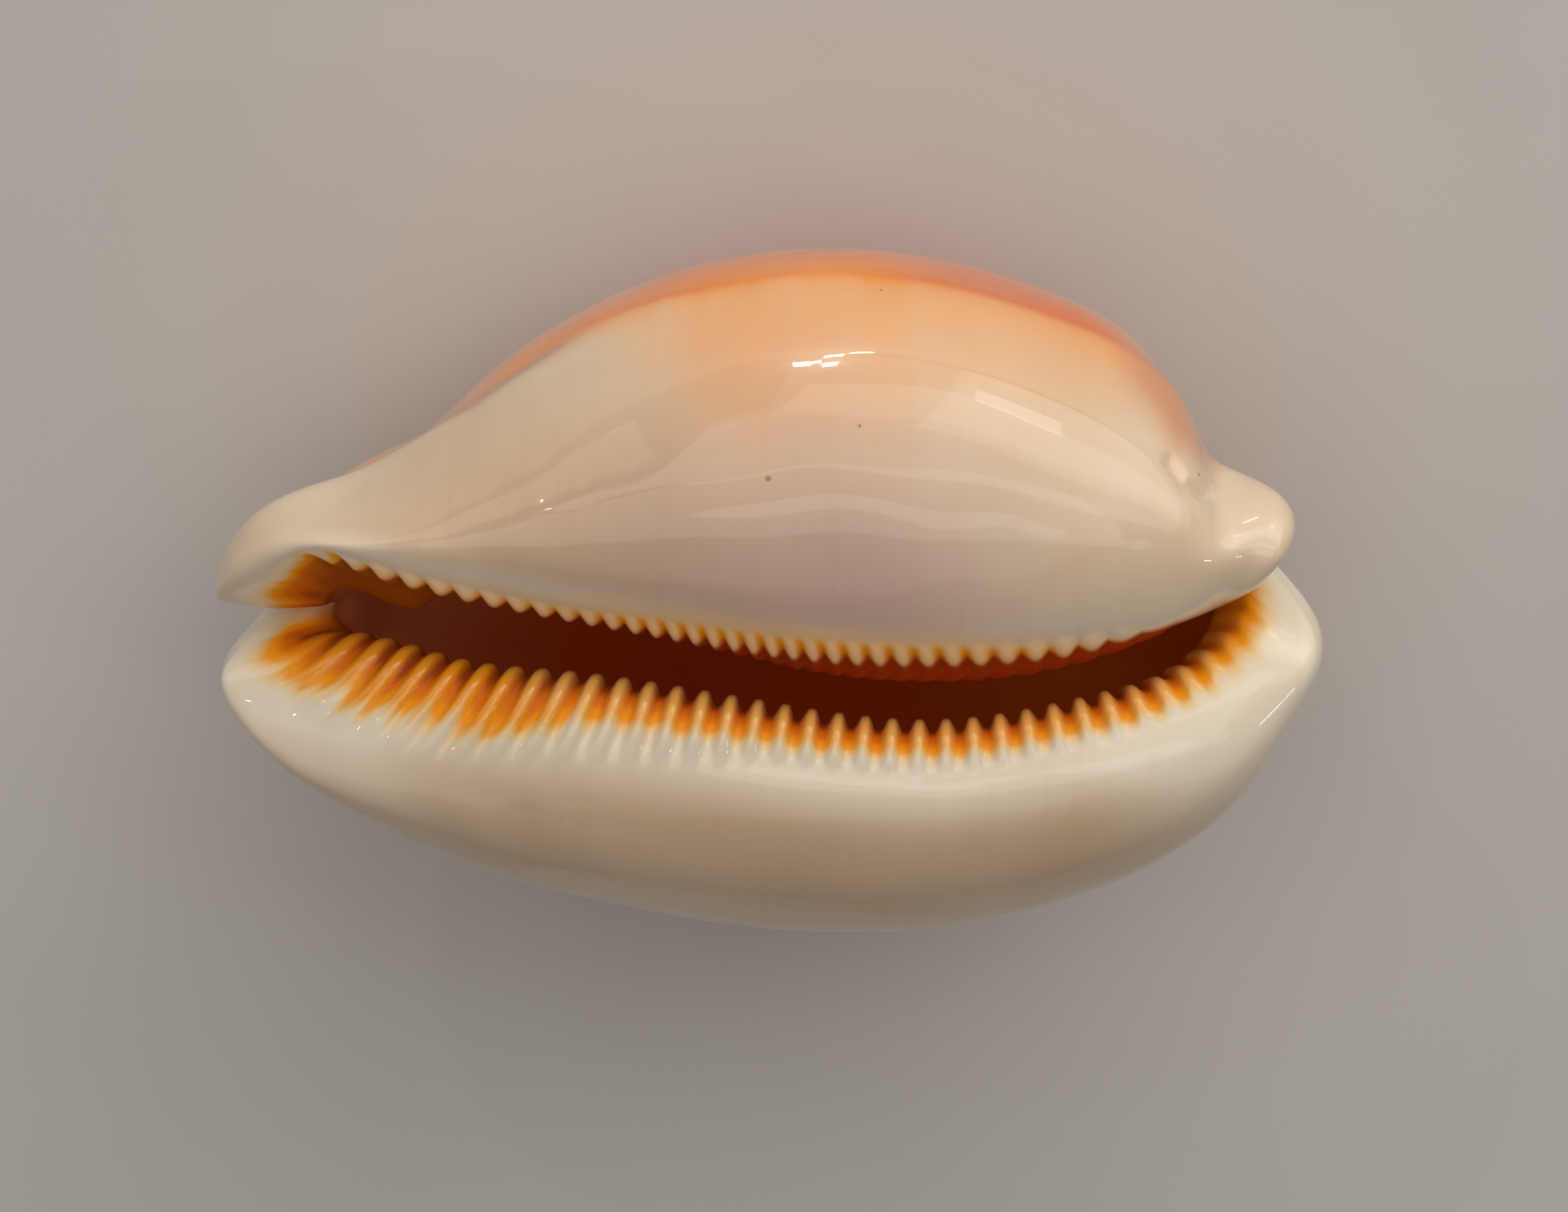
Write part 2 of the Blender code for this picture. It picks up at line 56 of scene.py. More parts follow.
# Cross-sections round the mouth, in millimetres in the shell's own axes, the same as in the solid:
# margin, crest, edge of the lip, inner fold, inner margin, then the back's tuck, rise and fullness.
stations = (
    ("canal floor", (-42.2, 3.2, 4.4), (-42.0, 3.0, 8.0), (-39.8, 3.0, 8.8), (-37.4, 3.0, 9.2),
     (-35.2, 2.5, 2.6), (1.2, 1.6, 0.40)),
    ("canal flank", (-44.2, 0.9, 7.4), (-44.7, 0.4, 11.6), (-41.2, 1.7, 11.0), (-37.6, 2.2, 9.8),
     (-35.2, 0.8, 2.6), (2.2, 3.6, 0.40)),
    ("labral prong", (-47.2, -2.6, 9.6), (-46.7, -1.9, 15.2), (-40.6, 1.4, 12.4), (-37.0, 1.3, 10.2),
     (-35.2, -1.6, 3.0), (4.2, 5.0, 0.40)),
    ("labral neck", (-44.2, -8.0, 10.0), (-42.8, -6.4, 18.3), (-36.2, 1.9, 13.4), (-35.2, 0.4, 10.2),
     (-34.6, -5.2, 3.6), (3.0, 5.5, 0.43)),
    ("labral front", (-37.8, -13.7, 9.0), (-36.6, -9.0, 20.8), (-31.2, 1.7, 15.4), (-30.6, -0.6, 11.4),
     (-31.2, -10.6, 4.2), (1.6, 5.0, 0.48)),
    ("labral front body", (-28.0, -20.0, 8.0), (-28.2, -10.0, 22.2), (-24.6, 0.5, 17.0), (-24.4, -2.2, 12.8),
     (-25.8, -17.2, 4.5), (0.3, 4.0, 0.55)),
    ("labral front mid", (-15.0, -25.2, 7.0), (-15.6, -11.0, 23.0), (-14.2, -0.4, 18.0), (-14.2, -3.4, 13.8),
     (-13.8, -22.4, 4.5), (0.0, 3.0, 0.60)),
    ("labral mid", (1.0, -28.4, 6.5), (0.0, -12.0, 23.3), (-0.5, -2.9, 18.5), (-0.5, -6.0, 14.2),
     (0.6, -25.7, 4.5), (0.0, 3.0, 0.59)),
    ("labral rear mid", (16.0, -28.1, 6.5), (14.8, -12.6, 23.2), (13.5, -4.6, 18.5), (13.5, -7.8, 14.2),
     (14.7, -25.3, 4.5), (0.0, 3.0, 0.60)),
    ("labral rear body", (29.6, -23.8, 7.0), (28.0, -11.0, 22.6), (25.0, -3.1, 18.0), (25.0, -6.2, 13.6),
     (27.0, -20.8, 4.5), (0.3, 4.0, 0.57)),
    ("labral rear", (40.0, -16.0, 8.5), (38.2, -7.2, 21.0), (33.6, -0.9, 17.0), (32.6, -3.4, 12.6),
     (35.6, -13.2, 4.2), (1.6, 5.0, 0.55)),
    ("labral heel", (45.8, -5.9, 9.5), (44.0, -2.2, 18.4), (38.8, 2.0, 15.0), (37.2, 0.2, 11.0),
     (38.0, -4.2, 3.4), (3.2, 6.0, 0.51)),
    ("labral horn", (47.6, 1.4, 9.0), (46.4, 2.4, 14.0), (41.0, 4.8, 11.6), (38.6, 4.0, 9.0),
     (38.4, 1.8, 3.0), (4.6, 6.0, 0.50)),
    ("rear canal", (43.0, 6.4, 5.2), (42.8, 6.4, 8.4), (40.6, 6.6, 8.4), (38.2, 6.4, 7.8),
     (37.2, 5.0, 2.6), (2.4, 2.6, 0.50)),
    ("rear nub", (45.0, 11.6, 10.8), (43.4, 10.0, 16.6), (41.4, 6.9, 13.0), (38.0, 6.4, 11.0),
     (37.0, 8.4, 3.0), (5.2, 8.0, 0.51)),
    ("nub side", (43.0, 15.2, 11.2), (41.0, 10.8, 18.3), (39.0, 5.4, 14.6), (36.2, 4.9, 12.4),
     (35.6, 11.8, 3.6), (5.4, 9.5, 0.56)),
    ("nub shoulder", (38.5, 15.2, 9.6), (38.0, 11.2, 19.6), (36.6, 4.9, 16.2), (34.6, 3.5, 13.2),
     (33.5, 13.2, 4.0), (2.6, 9.5, 0.60)),
    ("columellar heel", (35.8, 20.8, 4.8), (34.2, 12.2, 20.7), (33.4, 4.6, 18.3), (32.2, 1.8, 14.4),
     (31.8, 18.0, 4.0), (0.0, 6.0, 0.64)),
    ("columellar rear", (27.2, 26.0, 4.2), (27.0, 11.4, 22.2), (26.6, 3.3, 19.1), (26.0, -0.6, 14.8),
     (25.0, 22.9, 3.5), (0.0, 4.0, 0.66)),
    ("columellar rear mid", (15.0, 30.0, 3.5), (15.5, 10.8, 22.9), (17.0, 2.4, 19.5), (17.0, -2.2, 15.0),
     (14.2, 27.0, 3.5), (0.0, 3.0, 0.66)),
    ("columellar mid", (0.0, 30.4, 3.0), (1.5, 11.2, 23.2), (3.5, 2.9, 19.5), (3.5, -1.2, 14.8),
     (0.6, 27.5, 3.5), (0.0, 3.0, 0.66)),
    ("columellar front mid", (-15.0, 26.0, 3.5), (-13.5, 13.0, 23.0), (-11.0, 5.5, 19.5), (-11.0, 4.0, 14.6),
     (-13.6, 23.5, 3.5), (0.0, 3.0, 0.65)),
    ("columellar front", (-27.7, 18.6, 5.0), (-26.5, 13.8, 22.0), (-24.0, 8.2, 19.5), (-25.0, 7.2, 13.6),
     (-25.4, 15.5, 4.0), (1.2, 5.0, 0.60)),
    ("columellar neck", (-36.8, 14.1, 8.0), (-35.4, 13.2, 20.0), (-33.6, 10.8, 18.8), (-30.0, 3.8, 13.2),
     (-31.4, 9.6, 4.2), (4.0, 7.0, 0.50)),
    ("beak root", (-43.9, 12.2, 9.5), (-41.8, 10.8, 17.0), (-38.4, 10.4, 16.6), (-35.6, 6.0, 13.2),
     (-34.0, 6.8, 3.6), (3.8, 6.0, 0.45)),
    ("beak tip", (-47.2, 5.8, 9.8), (-47.3, 4.7, 12.6), (-42.4, 4.2, 12.7), (-38.0, 4.4, 12.7),
     (-35.0, 4.6, 3.0), (4.2, 5.2, 0.40)),
)
stationNames = [station[0] for station in stations]

# The outline of the shell, as in the solid
form = {
    "ridgeFront": -12.0, "ridgeRear": 16.0, "ridgeSide": 0.5, "ridgeBend": 0.006, "ridgeSpread": 0.08,
    "ridgeHeight": -25.8, "ridgeSag": 0.009, "wall": 2.5,
    "round": 0.5523, "hollowFullness": 0.58, "tuckSway": 0.6, "backSmoothing": 3,
    "curlShare": 0.06, "curlDrop": 0.015, "curlLimit": 3.0,
    "vaultShares": ((0.33, 1.0), (0.66, 1.3)), "vaultRise": 0.014, "vaultLimit": 6.0,
    "roll": math.radians(7.0), "flatDepth": 0.15,
}

# Rows of the design, from the ridge of the back to the ridge of the hollow
archSteps, tuckSteps, baseSteps, lipSteps, hollowSteps = 8, 4, 4, 3, 5
waistRow = archSteps
marginRow = waistRow + tuckSteps
crestRow = marginRow + baseSteps
edgeRow = crestRow + lipSteps
foldRow = edgeRow + 2
curlRow = foldRow + 1

teeth = {
    "labral": 36, "columellar": 35, "unitsBeforeLabral": 5, "unitsAfterColumellar": 5, "halfRing": 44,
    "labralFront": -35.1, "labralRear": 41.0, "columellarFront": -36.6, "columellarRear": 32.2,
    "crowding": 0.2,
}
ringUnits = 2 * teeth["halfRing"]
labralFirst = teeth["unitsBeforeLabral"]
labralLast = labralFirst + teeth["labral"] - 1
columellarLast = ringUnits - teeth["unitsAfterColumellar"]
columellarFirst = columellarLast - teeth["columellar"] + 1


# A smooth closed curve through the points, read by a position counted in points
def closedCurve(points):
    points = np.asarray(points, float)
    count = len(points)
    matrix = 4.0 * np.eye(count) + np.roll(np.eye(count), 1, 1) + np.roll(np.eye(count), -1, 1)
    slopes = np.linalg.solve(matrix, 3.0 * (np.roll(points, -1, 0) - np.roll(points, 1, 0)))

    def at(positions):
        whole = np.floor(positions)
        here = whole.astype(int) % count
        there = (here + 1) % count
        t = (positions - whole)[:, None]
        start = (2 * t**3 - 3 * t**2 + 1) * points[here] + (t**3 - 2 * t**2 + t) * slopes[here]
        return start + (3 * t**2 - 2 * t**3) * points[there] + (t**3 - t**2) * slopes[there]

    return at


rails = {name: closedCurve([station[index + 1] for station in stations])
         for index, name in enumerate(("margin", "crest", "edge", "fold", "hollow", "arch"))}


def fade(value, start, end):
    share = np.clip((value - start) / (end - start), 0.0, 1.0)
    return share * share * (3 - 2 * share)


edgeSamples = 2001    # points along a stretch of the lip's edge


# Where the edge of the lip passes x, between two stations
def positionAt(x, first, last):
    positions = np.linspace(stationNames.index(first), stationNames.index(last), edgeSamples)
    along = rails["edge"](positions)[:, 0]
    order = np.argsort(along)
    return float(np.interp(x, along[order], positions[order]))


def alongEdge(start, end, steps, crowding):
    positions = np.linspace(start, end, edgeSamples)
    lengths = np.linalg.norm(np.diff(rails["edge"](positions), axis=0), axis=1)
    travelled = np.concatenate([[0.0], np.cumsum(lengths)])
    share = np.linspace(0.0, 1.0, steps + 1)
    share = share + crowding * np.sin(2 * np.pi * share) / (2 * np.pi)
    return np.interp(share * travelled[-1], travelled, positions)


# The station position of each column, spaced by the teeth
def ringPositions(perUnit):
    rearCanal = stationNames.index("rear canal")
    labralFront = positionAt(teeth["labralFront"], "labral prong", "labral front body")
    labralRear = positionAt(teeth["labralRear"], "labral rear", "labral horn")
    columellarRear = positionAt(teeth["columellarRear"], "nub side", "columellar rear")
    columellarFront = positionAt(teeth["columellarFront"], "columellar front", "beak root")
    stretches = (
        np.linspace(0.0, labralFront, labralFirst * perUnit + 1),
        alongEdge(labralFront, labralRear, (teeth["labral"] - 1) * perUnit, 0.0),
        np.linspace(labralRear, rearCanal, (teeth["halfRing"] - labralLast) * perUnit + 1),
        np.linspace(rearCanal, columellarRear, (columellarFirst - teeth["halfRing"]) * perUnit + 1),
        alongEdge(columellarRear, columellarFront, (teeth["columellar"] - 1) * perUnit, teeth["crowding"]),
        np.linspace(columellarFront, len(stations), teeth["unitsAfterColumellar"] * perUnit + 1),
    )
    positions = np.concatenate([stretch[:-1] for stretch in stretches])
    for _ in range(2 * perUnit**2):
        before = np.concatenate([[positions[-1] - len(stations)], positions[:-1]])
        after = np.concatenate([positions[1:], [positions[0] + len(stations)]])
        positions = positions + 0.25 * (before - 2 * positions + after)
        positions[0] = 0.0
    return positions


# Rows of a cubic arch from a side, where it stands upright, to its top
def quarterArch(side, top, fullness, steps, slope=0.0):
    reach = (side - top) * np.broadcast_to(fullness, len(side))[:, None]
    upright = side - reach * (0, 0, 1)
    nearTop = top + reach * (1, 1, 0)
    nearTop[:, 2] += reach[:, 0] * slope
    return [(1 - t) ** 3 * side + 3 * t * (1 - t) ** 2 * upright + 3 * t**2 * (1 - t) * nearTop + t**3 * top
            for t in np.linspace(0.0, 1.0, steps + 1)]


def tucked(margin, inward, tuck, rise, share):
    row = margin.copy()
    row[:, :2] += inward * (tuck * share**2 * (3 - 2 * share))[:, None]
    row[:, 2] -= rise * (share + form["tuckSway"] * math.sin(2 * math.pi * share) / (2 * math.pi))
    return row


def designGrid(positions, perUnit):
    count = len(positions)
    margin, crest, edge, fold, hollow = (
        rails[name](positions) for name in ("margin", "crest", "edge", "fold", "hollow"))
    tuck, rise, fullness = rails["arch"](positions).T
    column = np.arange(count)
    share = 2 * np.minimum(column, count - column) / count
    share = share + form["ridgeSpread"] * np.sin(2 * np.pi * share)
    ridge = np.empty((count, 3))
    ridge[:, 0] = form["ridgeFront"] + (form["ridgeRear"] - form["ridgeFront"]) * share
    fromMiddle = ridge[:, 0] - (form["ridgeFront"] + form["ridgeRear"]) / 2
    ridge[:, 1] = form["ridgeSide"] + form["ridgeBend"] * np.maximum(fromMiddle, 0) ** 2
    ridge[:, 2] = form["ridgeHeight"] + form["ridgeSag"] * fromMiddle**2
    slope = 2 * form["ridgeSag"] * fromMiddle
    innerRidge = ridge + (0.0, 0.0, form["wall"])
    inward = ridge[:, :2] - margin[:, :2]
    inward /= np.linalg.norm(inward, axis=1)[:, None]
    waist = tucked(margin, inward, tuck, rise, 1.0)
    rows = quarterArch(waist, ridge, fullness, archSteps, slope)[::-1]
    rows += [tucked(margin, inward, tuck, rise, 1 - step / tuckSteps) for step in range(1, tuckSteps + 1)]
    rows += quarterArch(margin, crest, form["round"], baseSteps)[1:]
    rows += quarterArch(edge, crest, form["round"], lipSteps)[::-1][1:]
    rows += [(edge + fold) / 2, fold]
    reach = np.linalg.norm((hollow - fold)[:, :2], axis=1)
    curl = np.outer(np.minimum(form["curlDrop"] * reach**2, form["curlLimit"]), (0.0, 0.0, 1.0))
    vault = np.outer(np.minimum(form["vaultRise"] * reach**2, form["vaultLimit"]), (0.0, 0.0, 1.0))
    rows.append(fold + (hollow - fold) * form["curlShare"] - curl)
    rows += [fold + (hollow - fold) * share + vault * height for share, height in form["vaultShares"]]
    rows += quarterArch(hollow, innerRidge, np.minimum(fullness, form["hollowFullness"]), hollowSteps, slope)
    return relaxedBack(np.array(rows), perUnit)


def relaxedBack(grid, perUnit):
    weight = 1 - fade(np.arange(len(grid)), waistRow, marginRow + 1)
    for _ in range(form["backSmoothing"] * perUnit**2):
        around = np.roll(grid, 1, 1) + np.roll(grid, -1, 1)
        grid = grid + 0.25 * weight[:, None, None] * (around - 2 * grid)
    for _ in range(form["backSmoothing"]):
        grid[1:-1] += 0.25 * weight[1:-1, None, None] * (grid[:-2] + grid[2:] - 2 * grid[1:-1])
    return grid


# The cubic B-spline that the design rows control, at any fractional rows, mirrored past each ridge
def splineRows(grid, rows):
    mirror = -np.arange(grid.shape[1]) % grid.shape[1]
    padded = np.concatenate([grid[1:2, mirror], grid, grid[-2:-1, mirror]])
    first = np.minimum(np.floor(rows).astype(int), len(grid) - 2)
    t = (rows - first)[:, None, None]
    weights = ((1 - t) ** 3, 3 * t**3 - 6 * t**2 + 4, -3 * t**3 + 3 * t**2 + 3 * t + 1, t**3)
    return sum(weight * padded[first + step] for step, weight in enumerate(weights)) / 6


def outwardNormals(grid, rows):
    along = np.roll(grid, -1, 1) - np.roll(grid, 1, 1)
    down = np.gradient(grid, rows, axis=0)
    normals = np.cross(along, down)
    return normals / np.maximum(np.linalg.norm(normals, axis=2), 1e-9)[:, :, None]


# Fine mesh: columns to a tooth, and steps to each design row from the back's ridge inwards. Columns are thinned
# over the back and in the hollow, and once more this many rows from both ridges.
fine = {
    "columnsPerUnit": 10, "thinnestRows": 3, "foldMargin": 0.5,
    "rowSteps": [4] * archSteps + [4] * tuckSteps + [7] * baseSteps + [11] * lipSteps + [8] * 2
                + [4] * 4 + [3] * hollowSteps,
}

# Relief that stands on the smooth form, in millimetres
relief = {
    "pitPlace": (37.6, 15.6, 4.2), "pitRadius": 2.4, "pitDepth": 1.1,
    "slantUnits": (4, 9.5, 12.5, 15.5, 18.6, 25, 28, 31, 33.5, 38),
    "slants": (-0.13, -0.146, -0.124, -0.084, -0.066, -0.054, -0.037, -0.024, 0.0, 0.008),
    "toothUnits": (4, 8, 14, 20, 33, 36, 38.5, 41),
    "toothLengths": (9.0, 11.0, 8.5, 5.2, 4.2, 3.2, 2.4, 1.8),
    "toothHeights": (0.30, 0.60, 0.95, 1.25, 1.0, 0.55, 0.25, 0.08), "toothFullShare": 0.18,
    "scallopUnits": (48, 52, 60, 68, 74, 83), "scallopEnds": (2.6, 3.6, 4.4, 3.8, 3.0, 2.6),
    "scallopHeight": 0.75, "scallopFullShare": 0.25, "scallopPower": 0.55,
    "creasePath": ((34.1, 19.1, 15.6), (35.4, 17.5, 16.6), (36.8, 16.5, 15.8), (38.0, 15.8, 14.2)),
    "creaseWidth": 0.7, "creaseDepth": 0.75,
    "ribHeight": 0.16, "ribSlant": 0.25, "grooveDepth": 0.30,
    "waveSeed": 7, "waveSines": 9, "waveLength": 11.0, "waveHeight": 0.055, "waveRows": (3.0, 8.0),
    "rippleLength": 3.6, "rippleStretch": (1.0, 1.0, 0.6), "rippleHeight": 0.022, "rippleFront": (10, 20),
    "toothRound": (0.02, 0.95), "toothTopRound": (0.05, 0.95), "sharpWidths": (0.3, 0.9), "grooveRows": (2, 9),
    "grooveLoss": 0.6,
}

# Where the callus of the base ends on the back, as a design row for each place round the ring
callusEdge = {
    "units": (0, 6, 14, 34, 42, 45.0, 46.6, 47.6, 48.4, 49.2, 50.0,
              51.0, 53, 56, 62, 67, 71.6, 74.4, 76.3, 79.4, 84, 88),
    "rows": (8.6, 8.8, 9.2, 9.2, 8.8, 8.6, 9.6, 11.8, 13.2, 13.6, 13.0,
             12.7, 12.8, 13.0, 13.0, 12.6, 11.6, 11.7, 12.0, 11.4, 10.2, 8.6),
    "widths": (0.7, 1.0, 1.6, 1.6, 1.0, 0.9, 0.8, 0.8, 0.7, 0.7, 0.8,
               1.2, 1.8, 2.0, 2.0, 1.7, 0.9, 0.35, 0.3, 0.3, 0.5, 0.7),
    "waviness": 0.16, "wavyLip": (1, 6, 40, 44), "wavyBody": (53, 57, 68, 71),
}


def aroundRing(unit, places, values):
    return np.interp(unit, places, values)


# Millimetres from the edge of the lip along each column, positive towards the outside
def outwardDistance(grid, rows):
    lengths = np.linalg.norm(np.diff(grid, axis=0), axis=2)
    travelled = np.concatenate([np.zeros((1, grid.shape[1])), np.cumsum(lengths, axis=0)])
    return travelled[np.argmin(np.abs(rows - edgeRow))] - travelled


def toothPhase(unit, outwards):
    slant = aroundRing(unit, relief["slantUnits"], relief["slants"]) * (unit < teeth["halfRing"])
    return unit - slant * np.clip(outwards, -1.0, 11.0)


# Across the teeth: round-topped fingers on the labral lip, scallops on the columellar lip
def toothRidges(unit, outwards):
    wave = 0.5 + 0.5 * np.cos(2 * np.pi * toothPhase(unit, outwards))
    return np.where(unit < teeth["halfRing"], fade(wave, *relief["toothRound"]), wave ** relief["scallopPower"])


# The tops of the teeth alone, for the colours
def toothTops(unit, outwards):
    wave = 0.5 + 0.5 * np.cos(2 * np.pi * toothPhase(unit, outwards))
    return fade(wave, *relief["toothTopRound"])


def toothRelief(row, unit, outwards):
    phase = toothPhase(unit, outwards)
    labral = (phase > labralFirst - 0.5) & (phase < labralLast + 0.5)
    columellar = (unit > columellarFirst - 0.5) & (unit < columellarLast + 0.5)
    length = aroundRing(unit, relief["toothUnits"], relief["toothLengths"])
    height = aroundRing(unit, relief["toothUnits"], relief["toothHeights"])
    labralHeight = height * (1 - fade(outwards, relief["toothFullShare"] * length, length))
    labralHeight = labralHeight * (1 - fade(row, foldRow - 0.7, foldRow + 0.6))
    fossula = fade(unit, columellarLast - 14, columellarLast - 5)
    innerEnd = foldRow - 1.2 * fossula
    scallopEnd = aroundRing(unit, relief["scallopUnits"], relief["scallopEnds"])
    columellarHeight = 1 - fade(outwards, relief["scallopFullShare"] * scallopEnd, scallopEnd)
    columellarHeight = columellarHeight * (1 - fade(row, edgeRow, innerEnd))
    columellarHeight = columellarHeight * fade(unit, columellarFirst - 1, columellarFirst + 3)
    ribs = relief["ribHeight"] * fade(row, edgeRow + 0.4, edgeRow + 1.0)
    ribs = ribs * (1 - fade(row, foldRow, foldRow + 1.2)) * (1 - fossula) * columellar
    standing = labral * labralHeight + relief["scallopHeight"] * columellar * columellarHeight
    fineRibs = (0.5 + 0.5 * np.cos(2 * np.pi * (unit + relief["ribSlant"] * outwards))) * ribs
    return toothRidges(unit, outwards) * standing + fineRibs


# How far every point is from a path of straight steps
def pathDistance(grid, path):
    path = np.array(path)
    nearest = np.full(grid.shape[:2], 1e9)
    for start, end in zip(path[:-1], path[1:]):
        step = end - start
        share = np.clip((grid - start) @ step / (step @ step), 0, 1)
        nearest = np.minimum(nearest, np.linalg.norm(grid - start - share[:, :, None] * step, axis=2))
    return nearest


# The sunken spire between the back and the nub, with the crease that curls round it
def pitRelief(grid, row):
    distance = np.linalg.norm(grid - np.array(relief["pitPlace"]), axis=2)
    pit = relief["pitDepth"] * np.exp(-(distance / relief["pitRadius"]) ** 2)
    away = pathDistance(grid, relief["creasePath"])
    crease = relief["creaseDepth"] * np.exp(-(away / relief["creaseWidth"]) ** 2)
    return -(pit + crease) * (row <= edgeRow)


# Smooth random waves of about one length, from sines across each other
def waves(grid, length, seed):
    draw = np.random.default_rng(seed)
    total = 0
    for _ in range(relief["waveSines"]):
        direction = draw.normal(size=3)
        direction *= 2 * np.pi / (length * draw.uniform(0.75, 1.5) * np.linalg.norm(direction))
        total = total + np.sin(grid @ direction + draw.uniform(0, 2 * np.pi))
    return total / math.sqrt(relief["waveSines"])


# The step down from the callus to the back, where their border is sharp
def callusRelief(row, unit):
    edge = aroundRing(unit, callusEdge["units"], callusEdge["rows"])
    width = aroundRing(unit, callusEdge["units"], callusEdge["widths"])
    sharp = 1 - fade(width, *relief["sharpWidths"])
    beyond = (edge - row) / np.maximum(width, 0.2)
    faded = 1 - relief["grooveLoss"] * fade(beyond, *relief["grooveRows"])
    return -relief["grooveDepth"] * sharp * fade(beyond, -1.0, 1.0) * faded


def surfaceWaves(grid, row):
    outside = fade(row, *relief["waveRows"]) * (1 - fade(row, edgeRow - 1.2, edgeRow - 0.2))
    broad = relief["waveHeight"] * waves(grid, relief["waveLength"], relief["waveSeed"])
    frontCallus = fade(-grid[:, :, 0], *relief["rippleFront"]) * fade(row, marginRow - 1.0, marginRow + 1.5)
    frontCallus = frontCallus * (1 - fade(row, edgeRow - 1.4, edgeRow - 0.5))
    fineWaves = waves(grid * relief["rippleStretch"], relief["rippleLength"], relief["waveSeed"] + 1)
    return outside * broad + relief["rippleHeight"] * fineWaves * frontCallus


# The shell's own axes to the world: rolled on its back. toWorld below then sets it into the solid's box.
def restPose(points):
    cosine, sine = math.cos(form["roll"]), math.sin(form["roll"])
    turn = np.array(((1, 0, 0), (0, cosine, -sine), (0, sine, cosine)))
    return points @ turn.T


def shellPoints():
    perUnit = fine["columnsPerUnit"]
    design = designGrid(ringPositions(perUnit), perUnit)
    rows = np.concatenate([[0.0], np.cumsum([1 / steps for steps in fine["rowSteps"] for _ in range(steps)])])
    grid = splineRows(design, rows)
    unit = (np.arange(grid.shape[1]) / perUnit)[None, :]
    row = rows[:, None]
    outwards = outwardDistance(grid, rows)
    height = toothRelief(row, unit, outwards) + pitRelief(grid, row) + callusRelief(row, unit)
    height = height + surfaceWaves(grid, row)
    carved = grid + outwardNormals(grid, rows) * height[:, :, None]
    return rows, unit[0], grid, carved, outwards


# Every how many columns a row keeps a point
def columnStep(row):
    if row < fine["thinnestRows"] or row > curlRow + fine["thinnestRows"]:
        return 4
    if row < marginRow or row > foldRow + fine["foldMargin"]:
        return 2
    return 1


# The points kept of each row, and their numbers. The first and last rows fold onto themselves at a ridge.
def loftedIndex(rows, count):
    steps = [columnStep(row) for row in rows]
    index = np.full((len(rows), count), -1)
    kept = []
    for number, step in enumerate(steps):
        for column in range(0, count, step):
            partner = -column % count
            if number in (0, len(rows) - 1) and partner < column:
                index[number, column] = index[number, partner]
                continue
            index[number, column] = len(kept)
            kept.append((number, column))
    return steps, index, np.array(kept)


def shortDiagonal(points, a, b, c, d):
    if np.sum((points[a] - points[c]) ** 2) <= np.sum((points[b] - points[d]) ** 2):
        return (a, b, c), (a, c, d)
    return (a, b, d), (b, c, d)


def shellFaces(points, steps, index):
    faces = []
    count = index.shape[1]
    for number in range(len(steps) - 1):
        upper, lower = steps[number], steps[number + 1]
        for column in range(0, count, max(upper, lower)):
            after = (column + max(upper, lower)) % count
            middle = column + min(upper, lower)
            a, b = index[number, column], index[number, after]
            c, d = index[number + 1, after], index[number + 1, column]
            if upper == lower:
                faces += shortDiagonal(points, a, b, c, d)
            elif upper > lower:
                half = index[number + 1, middle]
                faces += [(a, half, d), (a, b, half), (b, c, half)]
            else:
                half = index[number, middle]
                faces += [(a, half, d), (half, c, d), (half, b, c)]
    return faces


rows, units, smoothGrid, carvedGrid, outwards = shellPoints()
posed = restPose(carvedGrid)
low, high = posed.reshape(-1, 3).min(0), posed.reshape(-1, 3).max(0)
boxLow, boxHigh = np.array(cadLow), np.array(cadHigh)
low[2] += form["flatDepth"]    # the back is cut flat this deep
scale = (boxHigh - boxLow) / (high - low)


# The form is set so that its box is the solid's box
def toWorld(points):
    return (points - low) * scale + boxLow


steps, index, kept = loftedIndex(rows, len(units))
worldGrid = toWorld(posed)
worldGrid[:, :, 2] = np.maximum(worldGrid[:, :, 2], boxLow[2])
points = worldGrid[kept[:, 0], kept[:, 1]]
faces = shellFaces(points, steps, index)
mesh = bpy.data.meshes.new("cowrieShell")
mesh.from_pydata(points.tolist(), [], faces)
mesh.shade_smooth()
shell = bpy.data.objects.new("cowrieShell", mesh)
scene.collection.objects.link(shell)
print("shell mesh:", len(points), "points,", len(faces), "triangles, scale", scale)

# How far the orange stain reaches out over the lips, in millimetres, and how strong it is, round the ring
stain = {
    "labralUnits": (0, 1.5, 3, 5, 8, 10, 12, 15, 18, 24, 34, 37, 39.5, 41.5, 43, 44),
    "labralReach": (2.0, 4.0, 6.5, 8.5, 9.0, 8.0, 6.8, 5.2, 4.5, 3.9, 4.1, 4.7, 5.0, 4.6, 3.6, 2.0),
    "labralAmounts": (0.0, 0.3, 0.75, 1.0, 1.0, 1.0, 1.0, 1.0, 1.0, 1.0, 0.9, 0.68, 0.55, 0.45, 0.25, 0.05),
    "columellarUnits": (44, 48, 52, 56, 62, 68, 73, 78, 82, 83.5, 85, 86.5, 88),
    "columellarReach": (0.5, 1.5, 5.0, 7.0, 8.0, 8.0, 7.0, 5.5, 4.0, 5.0, 8.0, 8.0, 4.0),
    "columellarAmounts": (0.0, 0.3, 0.8, 0.95, 1.0, 0.9, 0.7, 0.6, 0.7, 0.95, 1.0, 0.9, 0.6),
    "columellarFall": 1.5, "labralGain": 0.5,
}

